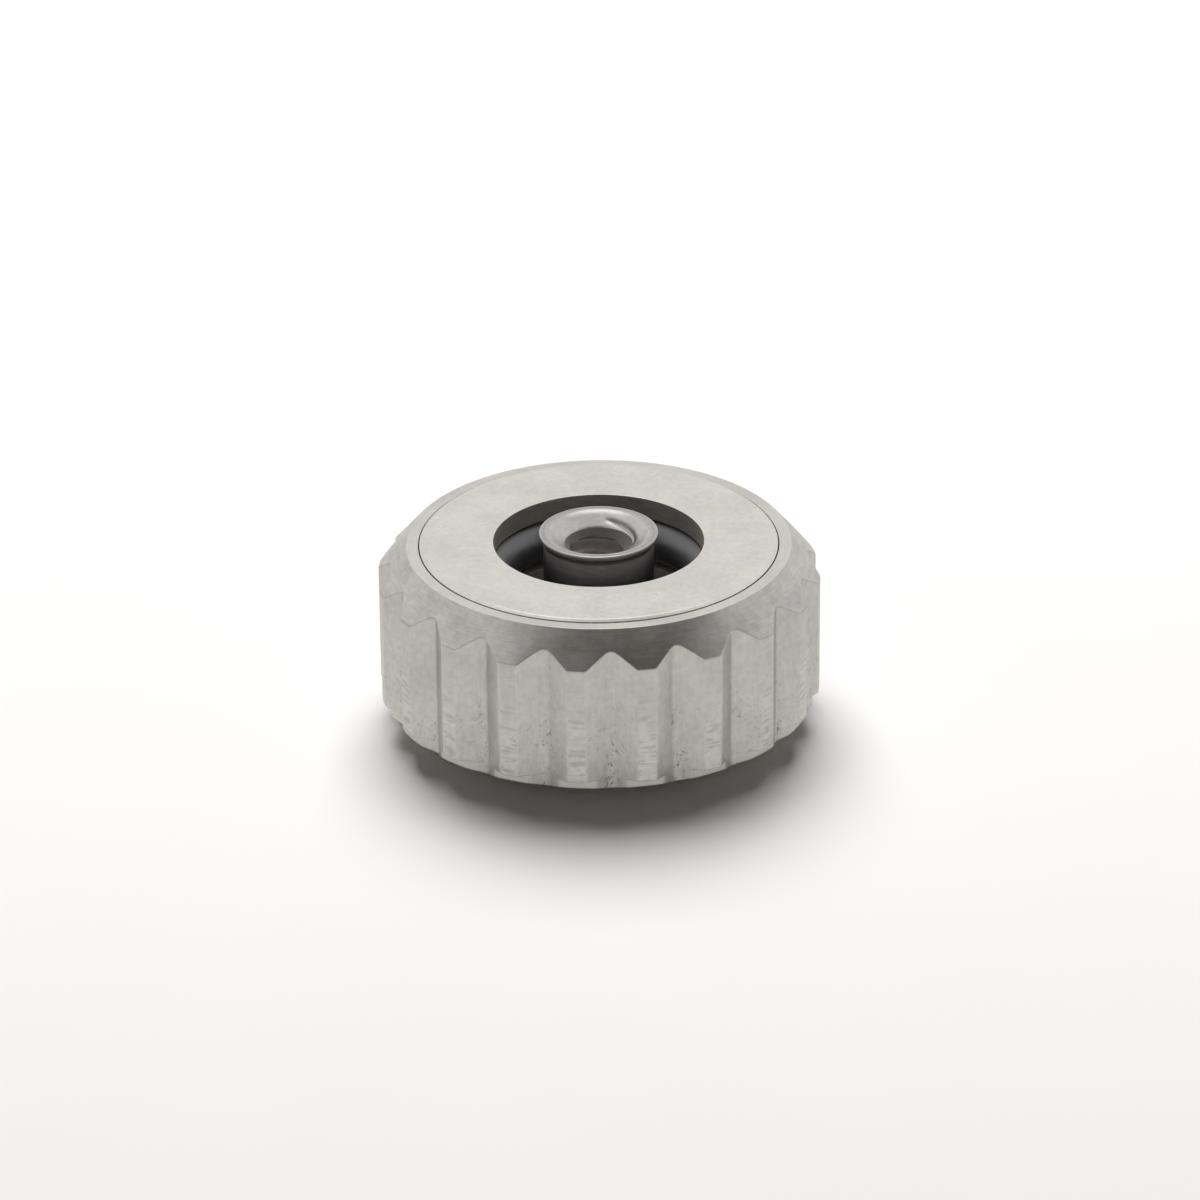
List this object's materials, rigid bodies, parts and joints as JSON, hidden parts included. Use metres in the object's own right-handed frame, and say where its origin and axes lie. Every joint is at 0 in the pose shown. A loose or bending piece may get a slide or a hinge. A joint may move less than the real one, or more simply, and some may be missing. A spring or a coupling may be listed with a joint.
{
  "type": "watch crown",
  "caption": "Fluted steel push-pull watch crown, inner side up: pressed-in washer over rubber seals around a tapped central post, with a low-domed bare outer face.",
  "frame": {"origin": "centre of the flat disc in the middle of the outer face, which the crown rests on", "axes": "+Z along the crown's axis towards the watch, out of the tapped hole; +X through the middle of a land between two flutes"},
  "size_m": [0.006, 0.006, 0.0028],
  "materials": {
    "head_steel": "turned steel: brushed round the upper chamfer, fine cross marks on the grip",
    "post_steel": "turned steel, polished lip and countersink",
    "spacer_steel": "plain turned steel",
    "washer_steel": "satin, fine and even",
    "seal_rubber": "smooth black nitrile, lightly greased"
  },
  "bodies": {
    "root": {"crown_head": "head_steel", "stem_post": "post_steel", "inner_o_ring": "seal_rubber", "spacer_ring": "spacer_steel", "outer_o_ring": "seal_rubber", "retaining_washer": "washer_steel"}
  },
  "joints": []
}
